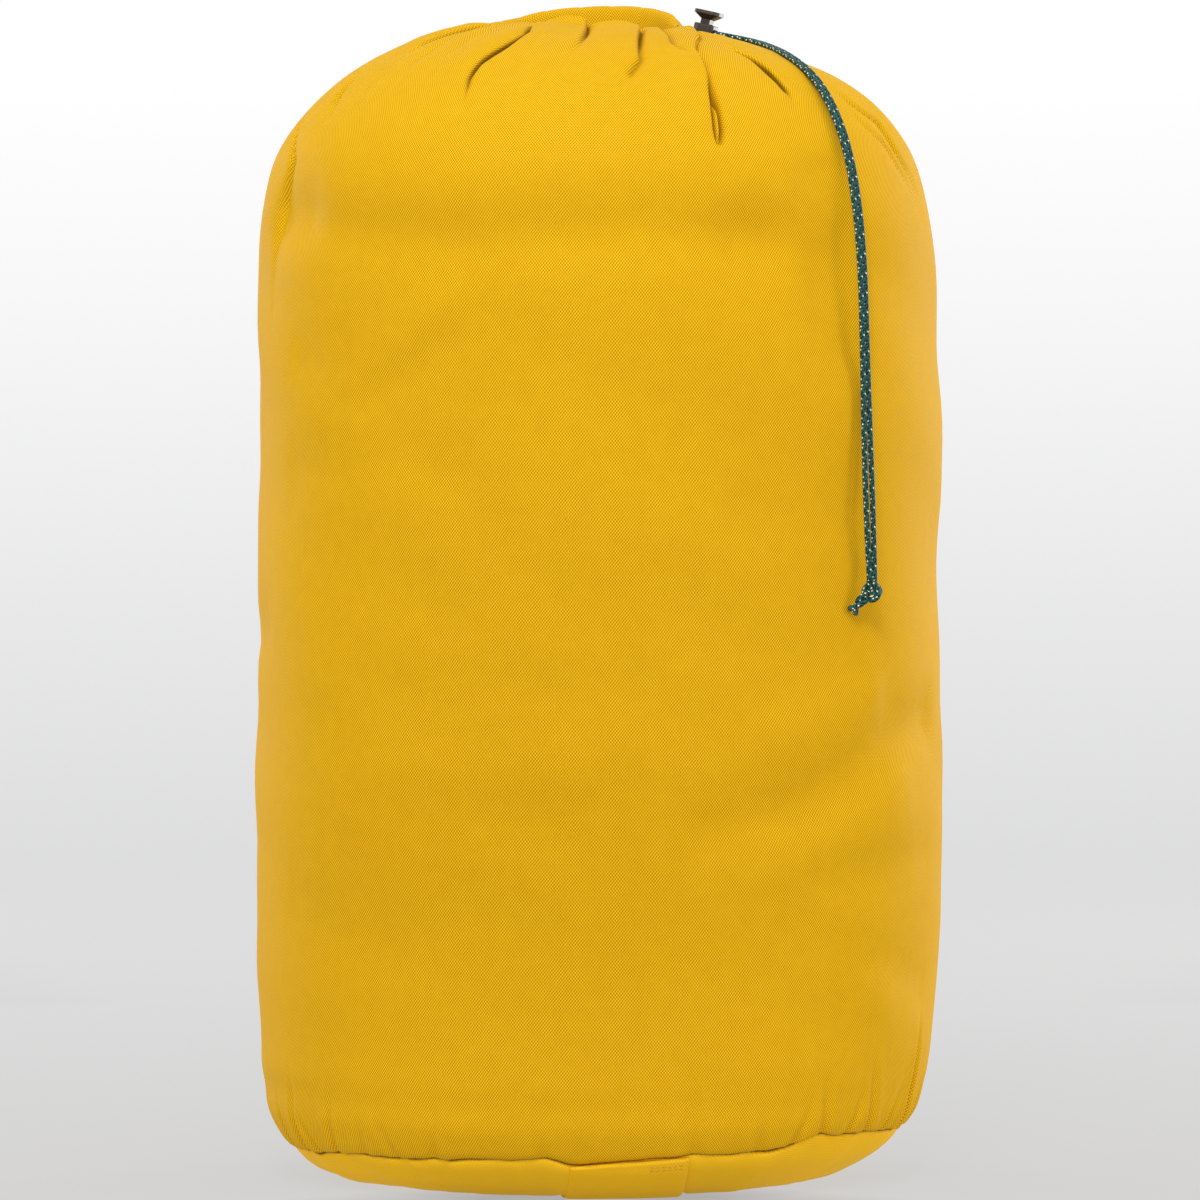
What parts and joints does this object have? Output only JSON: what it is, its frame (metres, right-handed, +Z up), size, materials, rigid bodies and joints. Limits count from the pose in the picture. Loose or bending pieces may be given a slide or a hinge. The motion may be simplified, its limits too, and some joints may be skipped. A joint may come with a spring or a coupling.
{
  "type": "stuff sack",
  "caption": "Cylindrical drawstring stuff sack standing full, with gathered mouth, round base panel, base grab strap and a spring cord lock on the doubled drawcord.",
  "frame": {"origin": "centre of the flat underside, on the surface it stands on", "axes": "+Z up the sack towards the mouth, -Y the front where the cord hangs, +X the side where the cord leaves the mouth"},
  "size_m": [0.3132, 0.3132, 0.5394],
  "materials": {
    "body_fabric": "woven nylon, soft sheen",
    "binding_tape": "matte woven tape",
    "thread": "matte sewing thread",
    "cord": "braided, with black and pale tracer flecks",
    "lock_plastic": "moulded, satin",
    "spring_wire": "bright wire"
  },
  "bodies": {
    "sack": {"body_panel": "body_fabric", "base_panel": "body_fabric", "base_handle": "body_fabric", "drawcord_tunnel": "body_fabric", "base_seam_binding": "binding_tape", "side_seam_binding": "binding_tape", "base_seam_thread": "thread", "side_seam_thread": "thread", "tunnel_thread": "thread", "handle_stitching": "thread", "drawcord_ring": "cord", "drawcord_tail_front": "cord", "drawcord_tail_rear": "cord", "drawcord_knot": "cord", "drawcord_ends": "cord"},
    "cord_lock": {"cord_lock_barrel": "lock_plastic", "cord_lock_spring": "spring_wire"},
    "plunger": {"cord_lock_plunger": "lock_plastic"}
  },
  "joints": [
    {"name": "lock_slide", "type": "slide", "parent": "sack", "child": "cord_lock", "axis": [0.9367, -0.304, -0.1737], "range_m": [0, 0.006]},
    {"name": "plunger_press", "type": "slide", "parent": "cord_lock", "child": "plunger", "axis": [-0.222, 0.0721, -0.9724], "range_m": [0, 0.002], "stiffness_N_per_m": 2000, "springref_m": -0.001, "deforming": ["cord_lock_spring"]}
  ]
}
